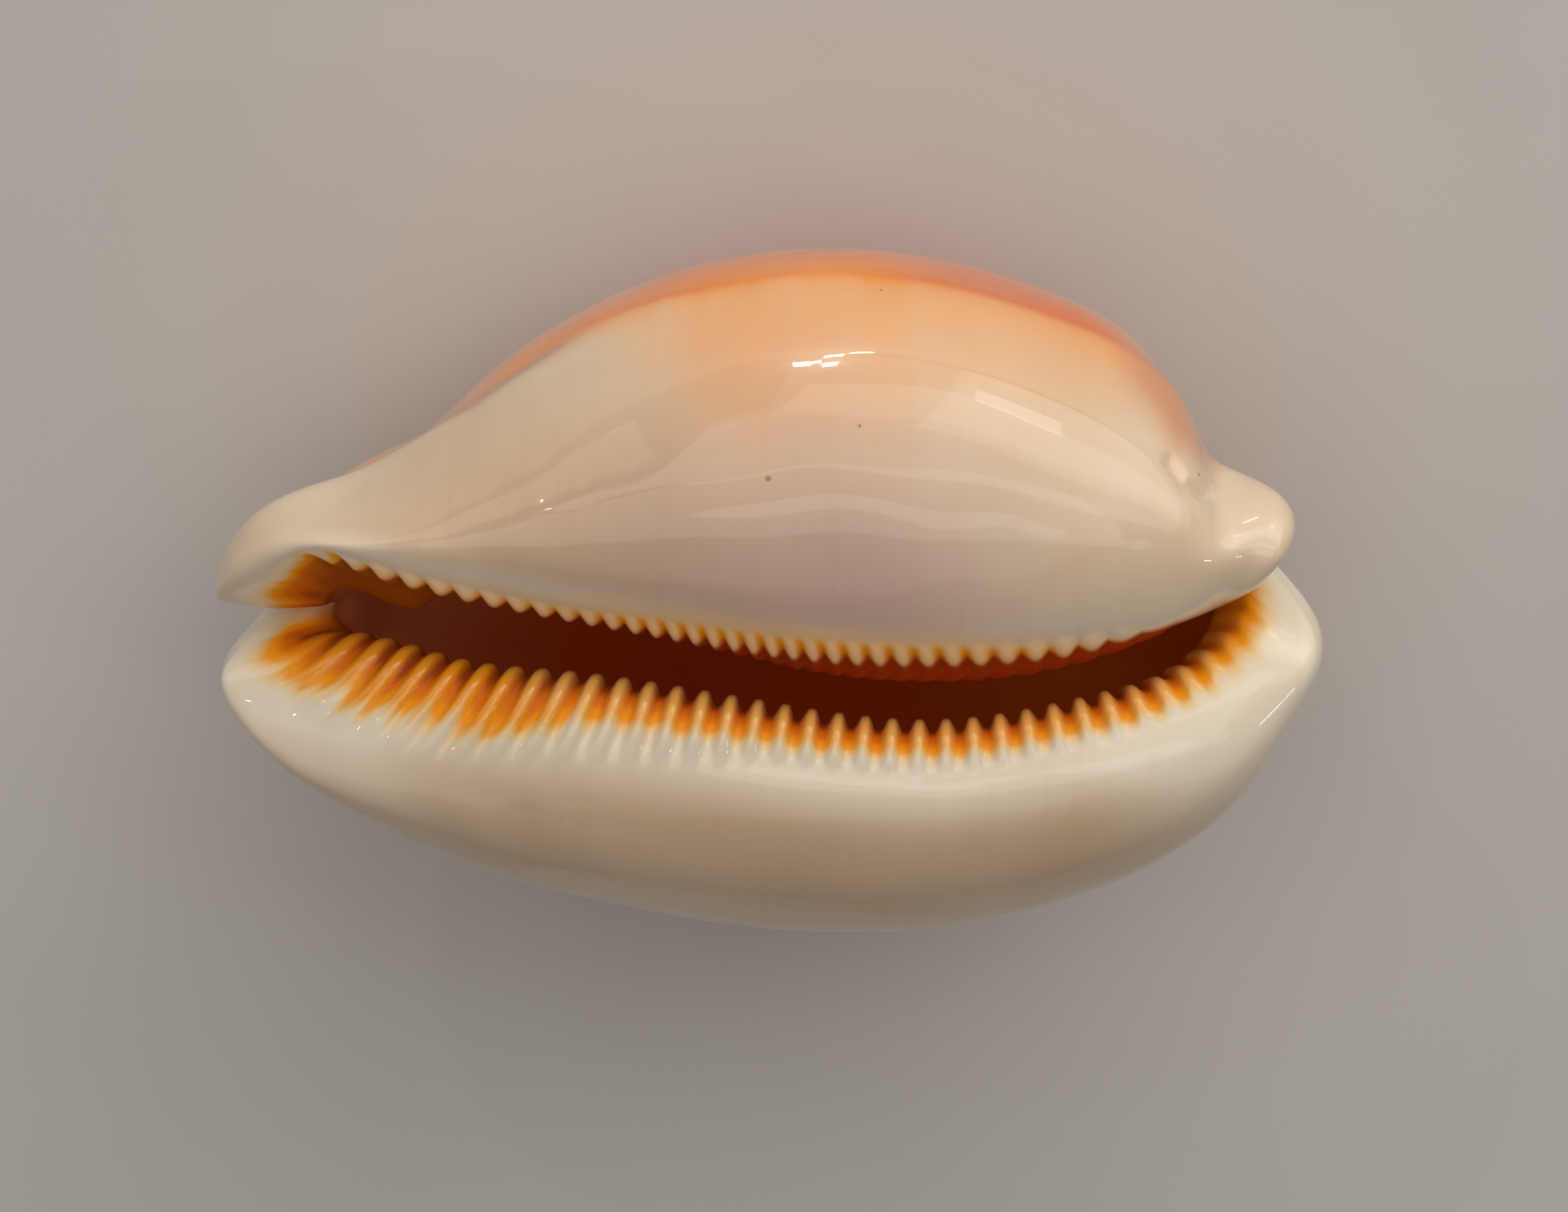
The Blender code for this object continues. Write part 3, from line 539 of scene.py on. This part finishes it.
# Where the other colours lie: fades as start and end, bands as start, full, still full and end, clouds as
# centre and width. They are counted in units round the ring, in design rows, or in millimetres.
places = {
    "labralTeeth": (2.5, 5.0, 35.5, 40), "columellarTeeth": (47.5, 49.5, 83, 84.5),
    "frontCanal": (36.5, 40.5), "rearCanal": (39.5, 42.5), "beakStain": (34.5, 47.5), "beak": (33.0, 37.0),
    "labralFray": (2.5, 5.0, 12, 20), "beakFray": 0.7, "rearLip": (28.0, 34.0),
    "body": (11.5, 13.0, edgeRow - 0.8, edgeRow), "lip": (9.0, 11.0),
    "deep": (foldRow + 0.5, foldRow + 3.0), "depth": (0.0, 5.0), "softEdge": (0.5, 1.2),
    "peach": (0.5, 12.6, 9.0, 1.7), "warmAndShade": (-12.0, 15.4, 22.0, 2.2), "mauve": (6.0, 16.2, 16.0, 1.5),
    "mauveAmount": 0.8, "whiteTeeth": (5.0, 11.0), "whiteEnds": (26, 38), "whiteEndsReach": (9, 18),
    "whiteBody": (2.0, 8.0), "whiteAndLitBodyAmount": 0.3, "whiteFront": (2, 16), "whiteAndLitFrontAmount": 0.6,
    "front": (14, 34), "rear": (8, 28),
}


def band(value, place):
    start, full, stillFull, end = place
    return fade(value, start, full) * (1 - fade(value, stillFull, end))


def cloud(x, row, place):
    centreX, centreRow, wideX, wideRow = place
    return np.exp(-((x - centreX) / wideX) ** 2 - ((row - centreRow) / wideRow) ** 2)


# The orange stain, from full at the lip's edge to nothing at its reach
def stainGrid(x, unit, labral):
    sides = {side: (aroundRing(unit, stain[side + "Units"], stain[side + "Reach"]),
                    aroundRing(unit, stain[side + "Units"], stain[side + "Amounts"]))
             for side in ("labral", "columellar")}
    reach, amount = (np.where(labral > 0, *both) for both in zip(sides["labral"], sides["columellar"]))
    falling = (1 - np.clip(outwards / reach, 0, 1)) ** (stain["columellarFall"] - stain["labralGain"] * labral)
    return amount * falling * (1 - (1 - labral) * fade(-x, *places["beakStain"]))


# The inside's colour starts past the edge of each lip, and further in between the rear teeth
def insideGrid(x, row, unit, labral):
    rearLip = labral * fade(unit, *places["rearLip"])
    canals = fade(-x, *places["frontCanal"]) + fade(x, *places["rearCanal"])
    start = edgeRow - 0.9 + 1.2 * labral + 2.2 * rearLip
    end = edgeRow - 0.3 + 1.9 * labral + 3.0 * rearLip
    return fade(row, start, end) * (1 - canals * (row < curlRow + 0.5))


# White along the labral lip and on the callus under the mouth. On the callus under the mouth, strongest towards
# the front, the white is partly its own colour and partly painted light on its under-face.
def whiteAndLitGrid(x, body, lip, labral):
    teethSide = lip * (1 - fade(outwards, *places["whiteTeeth"]))
    ends = lip * fade(abs(x), *places["whiteEnds"]) * (1 - fade(outwards, *places["whiteEndsReach"]))
    amount = places["whiteAndLitBodyAmount"] + places["whiteAndLitFrontAmount"] * fade(-x, *places["whiteFront"])
    return teethSide + ends + amount * (1 - labral) * body * (1 - fade(outwards, *places["whiteBody"]))


def shellMasks():
    row = rows[:, None] + 0 * units[None, :]
    unit = units[None, :] + 0 * row
    x = smoothGrid[:, :, 0]
    labral = (unit <= teeth["halfRing"]) * 1.0
    toothed = band(unit, places["labralTeeth"]) + band(unit, places["columellarTeeth"])
    width = aroundRing(unit, callusEdge["units"], callusEdge["widths"])
    wavy = band(unit, callusEdge["wavyLip"]) + band(unit, callusEdge["wavyBody"])
    wander = np.sin(0.9 * unit) + 0.6 * np.sin(2.3 * unit + 1.0) + 0.3 * np.sin(5.1 * unit)
    edge = aroundRing(unit, callusEdge["units"], callusEdge["rows"])
    beyond = edge + callusEdge["waviness"] * wavy * wander - row
    body = band(row, places["body"]) * (1 - labral)
    lip = labral * fade(row, *places["lip"])
    return {
        "stain": stainGrid(x, unit, labral),
        "ridge": toothTops(unit, outwards) * toothed * (1 - fade(row, foldRow - 0.7, foldRow + 0.3)),
        "fray": labral * band(unit, places["labralFray"])
                + places["beakFray"] * (1 - labral) * fade(-x, *places["beak"]),
        "labral": labral,
        "beak": fade(-x, *places["beak"]),
        "inside": insideGrid(x, row, unit, labral),
        "deep": fade(row, *places["deep"]),
        "dorsal": fade(beyond / width, -1.0, 1.0),
        "depth": fade(beyond, *places["depth"]),
        "softEdge": fade(width, *places["softEdge"]),
        "peach": body * cloud(x, row, places["peach"]),
        "warmAndShade": body * cloud(x, row, places["warmAndShade"]),
        "mauve": places["mauveAmount"] * body * cloud(x, row, places["mauve"]),
        "white": whiteAndLitGrid(x, body, lip, labral),
        "front": fade(-x, *places["front"]),
        "rear": fade(x, *places["rear"]),
        "outwards": outwards / 10,
    }


maskGrids = shellMasks()
for name, grid in maskGrids.items():
    values = np.ascontiguousarray(grid[kept[:, 0], kept[:, 1]], np.float32)
    mesh.attributes.new(name, "FLOAT", "POINT").data.foreach_set("value", values)


# Flow round the mouth: one unit is a tooth's pitch in the first two numbers, the third is 10 mm outwards.
# It leans with the teeth, so that streaks follow them.
def flowField():
    turn = 2 * np.pi * toothPhase(units[None, :] + 0 * outwards, outwards) / ringUnits
    radius = ringUnits / (2 * np.pi)
    return np.stack([radius * np.cos(turn), radius * np.sin(turn), outwards / 10], axis=2)


flow = np.ascontiguousarray(flowField()[kept[:, 0], kept[:, 1]], np.float32)
mesh.attributes.new("flow", "FLOAT_VECTOR", "POINT").data.foreach_set("vector", flow.ravel())
print("masks written:", ", ".join(maskGrids))


# One noise mask for streaks, growth lines, mottles and the uneven floor: stretched noise, cut to a range
def noiseMaskGroup():
    group = bpy.data.node_groups.new("noiseMask", "ShaderNodeTree")
    sockets = (("Vector", "NodeSocketVector"), ("Stretch", "NodeSocketVector"), ("Scale", "NodeSocketFloat"),
               ("Detail", "NodeSocketFloat"), ("Low", "NodeSocketFloat"), ("High", "NodeSocketFloat"))
    for name, kind in sockets:
        group.interface.new_socket(name=name, in_out="INPUT", socket_type=kind)
    group.interface.new_socket(name="Mask", in_out="OUTPUT", socket_type="NodeSocketFloat")
    entry, leave = group.nodes.new("NodeGroupInput"), group.nodes.new("NodeGroupOutput")
    stretch = group.nodes.new("ShaderNodeVectorMath")
    stretch.operation = "MULTIPLY"
    noise = group.nodes.new("ShaderNodeTexNoise")
    cut = group.nodes.new("ShaderNodeMapRange")
    cut.interpolation_type = "SMOOTHSTEP"
    for source, target in (
            (entry.outputs["Vector"], stretch.inputs[0]), (entry.outputs["Stretch"], stretch.inputs[1]),
            (stretch.outputs["Vector"], noise.inputs["Vector"]),
            (entry.outputs["Scale"], noise.inputs["Scale"]),
            (entry.outputs["Detail"], noise.inputs["Detail"]), (noise.outputs["Fac"], cut.inputs["Value"]),
            (entry.outputs["Low"], cut.inputs["From Min"]), (entry.outputs["High"], cut.inputs["From Max"]),
            (cut.outputs["Result"], leave.inputs["Mask"])):
        group.links.new(source, target)
    return group


noiseGroup = noiseMaskGroup()


# Small helpers that add nodes to one material's tree
class nodeBench:
    def __init__(self, name):
        self.material = bpy.data.materials.new(name)
        self.material.use_nodes = True
        self.tree = self.material.node_tree
        self.shader = self.tree.nodes["Principled BSDF"]

    def link(self, value, socket):
        if isinstance(value, bpy.types.NodeSocket):
            self.tree.links.new(value, socket)
        else:
            socket.default_value = value

    def mask(self, name):
        made = self.tree.nodes.new("ShaderNodeAttribute")
        made.attribute_name = name
        return made.outputs["Fac"]

    def field(self, name):
        made = self.tree.nodes.new("ShaderNodeAttribute")
        made.attribute_name = name
        return made.outputs["Vector"]

    def place(self):
        return self.tree.nodes.new("ShaderNodeTexCoord").outputs["Object"]

    def noise(self, vector, stretch, scale, detail, low, high):
        made = self.tree.nodes.new("ShaderNodeGroup")
        made.node_tree = noiseGroup
        for name, value in (("Vector", vector), ("Stretch", stretch), ("Scale", scale), ("Detail", detail),
                            ("Low", low), ("High", high)):
            self.link(value, made.inputs[name])
        return made.outputs["Mask"]

    def math(self, operation, first, second, clamp=False):
        made = self.tree.nodes.new("ShaderNodeMath")
        made.operation = operation
        made.use_clamp = clamp
        for socket, value in zip(made.inputs, (first, second)):
            self.link(value, socket)
        return made.outputs[0]

    def times(self, first, second):
        return self.math("MULTIPLY", first, second)

    def mix(self, factor, first, second, blend="MIX"):
        made = self.tree.nodes.new("ShaderNodeMix")
        made.data_type = "RGBA"
        made.blend_type = blend
        for socket, value in ((made.inputs[0], factor), (made.inputs[6], first), (made.inputs[7], second)):
            self.link(value, socket)
        return made.outputs[2]

    def ramp(self, value, stops):
        made = self.tree.nodes.new("ShaderNodeValToRGB")
        made.color_ramp.interpolation = "EASE"
        for number, (position, colour) in enumerate(stops):
            elements = made.color_ramp.elements
            element = elements[number] if number < 2 else elements.new(position)
            element.position, element.color = position, (*colour, 1)
        self.link(value, made.inputs["Fac"])
        return made.outputs["Color"]

    def speck(self, place, centre, size):
        away = self.tree.nodes.new("ShaderNodeVectorMath")
        away.operation = "DISTANCE"
        self.link(place, away.inputs[0])
        away.inputs[1].default_value = centre
        return self.range(away.outputs["Value"], size, finish["speckFade"] * size)

    def range(self, value, low, high, newLow=0.0, newHigh=1.0):
        made = self.tree.nodes.new("ShaderNodeMapRange")
        made.interpolation_type = "SMOOTHSTEP"
        for name, number in (("Value", value), ("From Min", low), ("From Max", high), ("To Min", newLow),
                             ("To Max", newHigh)):
            self.link(number, made.inputs[name])
        return made.outputs["Result"]

    def bump(self, height, distance, strength):
        made = self.tree.nodes.new("ShaderNodeBump")
        made.inputs["Distance"].default_value = distance
        made.inputs["Strength"].default_value = strength
        self.link(height, made.inputs["Height"])
        return made.outputs["Normal"]


colours = {
    "cream": (0.75, 0.56, 0.38, 1), "paleCream": (0.82, 0.66, 0.48, 1), "beigeAndShade": (0.56, 0.38, 0.25, 1),
    "white": (0.90, 0.78, 0.62, 1), "peach": (0.82, 0.44, 0.25, 1), "mauve": (0.56, 0.37, 0.32, 1),
    "pink": (0.62, 0.28, 0.16, 1), "apricot": (0.92, 0.43, 0.15, 1),
    "golden": (0.98, 0.31, 0.004, 1), "deepGolden": (0.82, 0.16, 0.002, 1),
    "toothPeach": (0.95, 0.50, 0.13, 1), "toothOrange": (0.93, 0.36, 0.02, 1),
    "toothPale": (0.97, 0.58, 0.27, 1), "innerLip": (0.55, 0.06, 0.001, 1), "fossula": (0.42, 0.09, 0.003, 1),
    "hollowDeep": (0.90, 0.14, 0.012, 1), "hollowFrontRosyAndLit": (1.0, 0.33, 0.13, 1),
    "hollowRear": (1.0, 0.25, 0.015, 1),
    "speck": (0.34, 0.21, 0.05, 1), "growthShade": (0.62, 0.55, 0.50, 1), "streakShade": (0.93, 0.86, 0.80, 1),
}

# Noises: stretch, scale, detail, and the range that becomes 0 to 1. Ranges: start, end, and the values there.
finish = {
    "mottle": ((1, 1, 1), 55.0, 3.0, 0.30, 0.72), "growthLines": ((0.10, 0.10, 2.4), 1.5, 4.0, 0.54, 0.72),
    "streaks": ((1.0, 0.05, 0.05), 900.0, 3.0, 0.48, 0.80), "clouds": ((0.6, 1.0, 1.0), 45.0, 5.0, 0.34, 0.66),
    "combing": ((1.0, 1.0, 0.5), 1.6, 3.0, 0.25, 0.75), "polish": ((1, 1, 1), 240.0, 3.0, 0.3, 0.7),
    "grain": ((1, 1, 1), 190.0, 2.0, 0.2, 0.8), "grainDepth": 0.00003, "grainStrength": 0.5,
    "flankBeigeAndShadeAmount": 0.55, "peachAmount": 0.75, "whiteAmount": 0.85, "streakAmount": 0.30,
    "growthReach": (1.2, 2.6, 0.0, 0.4), "rimReach": (0.0, 0.5), "frayStart": (0.0, 0.30),
    "frayAmount": (0.0, 1.0, 0.08, 0.36), "ridgePaler": 0.13, "gapDarker": (0.35, 0.75, 0.0, 0.12),
    "orangeTeeth": (0.0, 0.5), "toothTops": (0.2, 0.7), "toothTopAmount": 0.85, "stainEdge": (0.0, 0.42),
    "halo": (0.02, 0.42), "notch": (0.24, 0.46), "dullGaps": (0.1, 0.5), "coat": (0.0, 1.0, 1.0, 0.05),
    "roughness": (0.0, 1.0, 0.16, 0.26), "dullRoughness": (0.6, 0.6, 0.6, 1), "speckFade": 0.4,
}
shellGloss = {"Metallic": 0.0, "Specular IOR Level": 0.2, "Subsurface Weight": 0.06,
              "Subsurface Radius": (1.0, 0.45, 0.2), "Subsurface Scale": 0.0008, "Coat Roughness": 0.025}
stainStops = ((0.0, (0.90, 0.74, 0.45)), (0.20, (0.94, 0.58, 0.12)), (0.42, (0.95, 0.34, 0.003)),
              (0.70, (0.74, 0.17, 0.001)), (1.0, (0.34, 0.05, 0.0)))
specks = (((0.0, 19.8, 20.5), 0.00035), ((7.7, 23.5, 17.9), 0.0002), ((9.6, 30.3, 4.7), 0.0002),
          ((36.6, 17.4, 14.3), 0.00025))


def shellMaterial():
    bench = nodeBench("polishedShell")
    place, flow = bench.place(), bench.field("flow")
    labral, inside = bench.mask("labral"), bench.mask("inside")
    stainMask, ridge = bench.mask("stain"), bench.mask("ridge")

    # the porcelain outside: cream body, white callus by the teeth, beige flanks. The beige is partly painted
    # shade, on the labral flank and in a patch low on the body's centre; the white on the callus under the
    # mouth is partly painted light.
    mottle = bench.noise(place, *finish["mottle"])
    cream = bench.mix(mottle, colours["cream"], colours["paleCream"])
    # painted shade: the labral side's beige is partly its own tone and partly painted shade of the lower flank
    flank = bench.mix(bench.times(labral, finish["flankBeigeAndShadeAmount"]), cream, colours["beigeAndShade"])
    # painted shade: a beige patch low on the body's centre, partly its own warmer tone and partly painted shade
    flank = bench.mix(bench.mask("warmAndShade"), flank, colours["beigeAndShade"])
    flank = bench.mix(bench.mask("mauve"), flank, colours["mauve"])
    flank = bench.mix(bench.times(bench.mask("peach"), finish["peachAmount"]), flank, colours["peach"])
    # painted light: the white mask lightens the callus under the mouth, partly in place of light on its
    # under-face
    outside = bench.mix(bench.times(bench.mask("white"), finish["whiteAmount"]), flank, colours["white"])

    # growth: faint lines along the lip, and fine streaks across the body
    lines = bench.noise(flow, *finish["growthLines"])
    farOut = bench.range(bench.mask("outwards"), *finish["growthReach"])
    lines = bench.times(lines, bench.times(labral, farOut))
    outside = bench.mix(lines, outside, colours["growthShade"], "MULTIPLY")
    streaks = bench.noise(place, *finish["streaks"])
    streaks = bench.times(streaks, finish["streakAmount"])
    outside = bench.mix(streaks, outside, colours["streakShade"], "MULTIPLY")

    # the golden back beyond the callus
    clouds = bench.noise(place, *finish["clouds"])
    back = bench.mix(clouds, colours["golden"], colours["deepGolden"])
    rim = bench.mix(bench.mask("softEdge"), colours["pink"], colours["apricot"])
    back = bench.mix(bench.range(bench.mask("depth"), *finish["rimReach"]), rim, back)
    outside = bench.mix(bench.mask("dorsal"), outside, back)

    # the orange stain round the mouth: deep in the gaps, peach on the teeth, in streaks that run with them
    front, stained = bench.mask("front"), bench.range(stainMask, *finish["frayStart"])
    streak = bench.noise(flow, *finish["combing"])
    streak = bench.math("SUBTRACT", streak, 0.5)
    fray = bench.times(streak, bench.range(bench.mask("fray"), *finish["frayAmount"]))
    level = bench.math("ADD", stainMask, bench.times(fray, stained))
    level = bench.math("SUBTRACT", level, bench.times(ridge, finish["ridgePaler"]))
    darker = bench.range(stainMask, *finish["gapDarker"])
    darker = bench.times(darker, bench.math("SUBTRACT", 1.0, ridge, clamp=True))
    level = bench.math("ADD", level, bench.times(darker, front), clamp=True)
    frontTeeth = bench.range(front, *finish["orangeTeeth"])
    fingers = bench.mix(frontTeeth, colours["toothPeach"], colours["toothOrange"])
    topped = bench.times(ridge, bench.range(stainMask, *finish["toothTops"]))
    topped = bench.times(topped, finish["toothTopAmount"])
    combed = bench.mix(bench.range(level, *finish["stainEdge"]), outside, bench.ramp(level, stainStops))
    combed = bench.mix(topped, combed, fingers)

    # along the opposite lip: a soft peach halo, with short dark notches only in the gaps
    halo = bench.mix(bench.range(stainMask, *finish["halo"]), outside, colours["toothPale"])
    notch = bench.range(stainMask, *finish["notch"])
    notch = bench.times(notch, bench.math("SUBTRACT", 1.0, ridge, clamp=True))
    notched = bench.mix(notch, halo, bench.ramp(stainMask, stainStops))
    surface = bench.mix(bench.math("MAXIMUM", labral, bench.mask("beak")), notched, combed)

    # inside: red-orange at the lips, dark in the hollow, rosy towards the front and orange at the rear. The
    # lighter rosy front of the hollow is partly painted light, where light from outside reaches it.
    hollow = bench.mix(front, colours["hollowDeep"], colours["hollowFrontRosyAndLit"])
    hollow = bench.mix(bench.mask("rear"), hollow, colours["hollowRear"])
    innerLip = bench.mix(front, colours["innerLip"], colours["fossula"])
    inner = bench.mix(bench.mask("deep"), innerLip, hollow)
    surface = bench.mix(inside, surface, inner)

    for centre, size in specks:
        spot = toWorld(restPose(np.array(centre)))
        surface = bench.mix(bench.speck(place, tuple(spot), size), surface, colours["speck"])

    # glossy as porcelain outside, dull in the hollow and in the gaps between the teeth
    shader = bench.shader
    bench.link(surface, shader.inputs["Base Color"])
    for name, value in shellGloss.items():
        shader.inputs[name].default_value = value
    gaps = bench.range(stainMask, *finish["dullGaps"])
    gaps = bench.times(gaps, bench.math("SUBTRACT", 1.0, ridge))
    dull = bench.math("MAXIMUM", inside, gaps)
    bench.link(bench.range(dull, *finish["coat"]), shader.inputs["Coat Weight"])
    polish = bench.range(bench.noise(place, *finish["polish"]), *finish["roughness"])
    bench.link(bench.mix(dull, polish, finish["dullRoughness"]), shader.inputs["Roughness"])
    grain = bench.noise(place, *finish["grain"])
    bench.link(bench.bump(grain, finish["grainDepth"], finish["grainStrength"]), shader.inputs["Normal"])
    return bench.material


mesh.materials.append(shellMaterial())
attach(shell, "root")
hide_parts("cowrie_shell")
print("shell ready")

# A plain pale floor, a hair below the part
floorValues = {
    "reach": 3.0, "drop": 0.0001, "colour": (0.62, 0.61, 0.59, 1), "shade": (0.58, 0.57, 0.55, 1),
    "roughness": 0.7, "unevenness": ((1, 1, 1), 9.0, 4.0, 0.3, 0.7),
}


def addFloor():
    reach, drop = floorValues["reach"], floorValues["drop"]
    corners = [(-reach, -reach, -drop), (reach, -reach, -drop), (reach, reach, -drop), (-reach, reach, -drop)]
    floorMesh = bpy.data.meshes.new("floor")
    floorMesh.from_pydata(corners, [], [(0, 1, 2, 3)])
    floor = bpy.data.objects.new("floor", floorMesh)
    scene.collection.objects.link(floor)
    bench = nodeBench("paleFloor")
    uneven = bench.noise(bench.place(), *floorValues["unevenness"])
    colour = bench.mix(uneven, floorValues["colour"], floorValues["shade"])
    bench.link(colour, bench.shader.inputs["Base Color"])
    bench.shader.inputs["Roughness"].default_value = floorValues["roughness"]
    floorMesh.materials.append(bench.material)
    return floor


addFloor()

# The camera looks 25 degrees off the mouth's axis, at the shell's own origin: 18 of them are its own tilt, and
# the others are the shell's roll.
cameraValues = {
    "distance": 0.700, "lens": 184.04, "sensor": 36, "tilt": math.radians(18.0),
    "shift": (22 / 2184, -24 / 2184),
}


def addCamera():
    tilt = cameraValues["tilt"]
    camera = bpy.data.objects.new("camera", bpy.data.cameras.new("camera"))
    away = Vector((0, math.sin(tilt), math.cos(tilt)))
    camera.location = Vector(toWorld(np.zeros(3))) + cameraValues["distance"] * away
    camera.rotation_euler = (-tilt, 0, 0)
    camera.data.lens = cameraValues["lens"]
    camera.data.sensor_width = cameraValues["sensor"]
    camera.data.shift_x, camera.data.shift_y = cameraValues["shift"]
    scene.collection.objects.link(camera)
    return camera


scene.camera = addCamera()

# Soft studio light: a broad panel behind the shell, a window of small panes, and dimmer panels above
lights = {
    "wallPanel": {"aim": (0.42, 0.90, 0.33), "away": 1.10, "size": (1.30, 0.70), "power": 1.7},
    "wallPanelRight": {"aim": (0.62, 0.78, 0.40), "away": 1.10, "size": (1.00, 0.85), "power": 2.2},
    "wallPanelHigh": {"aim": (0.35, 0.75, 0.70), "away": 1.20, "size": (1.30, 1.00), "power": 3.8},
    "paneA": {"aim": (-0.055, 0.99, 0.045), "away": 0.6, "size": (0.026, 0.026), "power": 0.12},
    "paneB": {"aim": (-0.020, 0.99, 0.032), "away": 0.6, "size": (0.012, 0.015), "power": 0.03},
    "paneC": {"aim": (0.015, 0.99, 0.070), "away": 0.6, "size": (0.022, 0.022), "power": 0.09},
    "paneD": {"aim": (0.015, 0.99, -0.015), "away": 0.6, "size": (0.026, 0.012), "power": 0.06},
    "paneE": {"aim": (0.070, 0.99, -0.025), "away": 0.6, "size": (0.026, 0.008), "power": 0.02},
    "softPane": {"aim": (0.37, 0.90, 0.27), "away": 1.2, "size": (0.16, 0.16), "power": 0.17},
    "leftPane": {"aim": (-0.25, 0.60, 0.76), "away": 1.2, "size": (0.03, 0.02), "power": 0.06},
    "nubPane": {"aim": (0.72, -0.20, 0.64), "away": 1.2, "size": (0.03, 0.18), "power": 0.30, "roll": 0.6},
    "toothPane": {"aim": (-0.31, 0.74, 0.60), "away": 1.2, "size": (0.02, 0.03), "power": 0.35},
    "ceiling": {"aim": (-0.15, 0.10, 0.98), "away": 1.5, "size": (2.2, 1.6), "power": 3.6},
    "mouthPanel": {"aim": (0.0, 0.25, 0.97), "away": 1.3, "size": (1.10, 0.80), "power": 2.2},
    "leftPanel": {"aim": (-0.58, 0.72, 0.38), "away": 1.2, "size": (0.80, 0.60), "power": 1.1},
    "ceilingPane": {"aim": (0.12, 0.12, 0.98), "away": 1.3, "size": (0.40, 0.14), "power": 0.16, "roll": 0.1},
    "ceilingPaneRear": {"aim": (0.42, -0.03, 0.91), "away": 1.3, "size": (0.16, 0.10), "power": 0.05,
                        "roll": 0.3},
    "prongPane": {"aim": (-0.60, 0.20, 0.78), "away": 1.2, "size": (0.02, 0.03), "power": 0.05, "roll": 0.3},
}
studio = {
    "lampColour": (1.0, 0.95, 0.88), "target": (0, 0, 0.035),
    "world": (1.0, 0.97, 0.94, 1), "worldStrength": 0.13,
}


def addLight(name, values):
    light = bpy.data.lights.new(name, "AREA")
    light.shape = "RECTANGLE"
    light.size, light.size_y = values["size"]
    light.energy = values["power"]
    light.color = studio["lampColour"]
    lamp = bpy.data.objects.new(name, light)
    aim = Vector(values["aim"]).normalized()
    lamp.location = Vector(studio["target"]) + values["away"] * aim
    lamp.rotation_euler = (-aim).to_track_quat("-Z", "Y").to_euler()
    lamp.rotation_euler.rotate_axis("Z", values.get("roll", 0.0))
    lamp.visible_camera = False
    scene.collection.objects.link(lamp)


for name, values in lights.items():
    addLight(name, values)
scene.world = bpy.data.worlds.new("world")
scene.world.use_nodes = True
background = scene.world.node_tree.nodes["Background"]
background.inputs["Color"].default_value = studio["world"]
background.inputs["Strength"].default_value = studio["worldStrength"]
scene.view_settings.view_transform = "Standard"
print("stage ready")
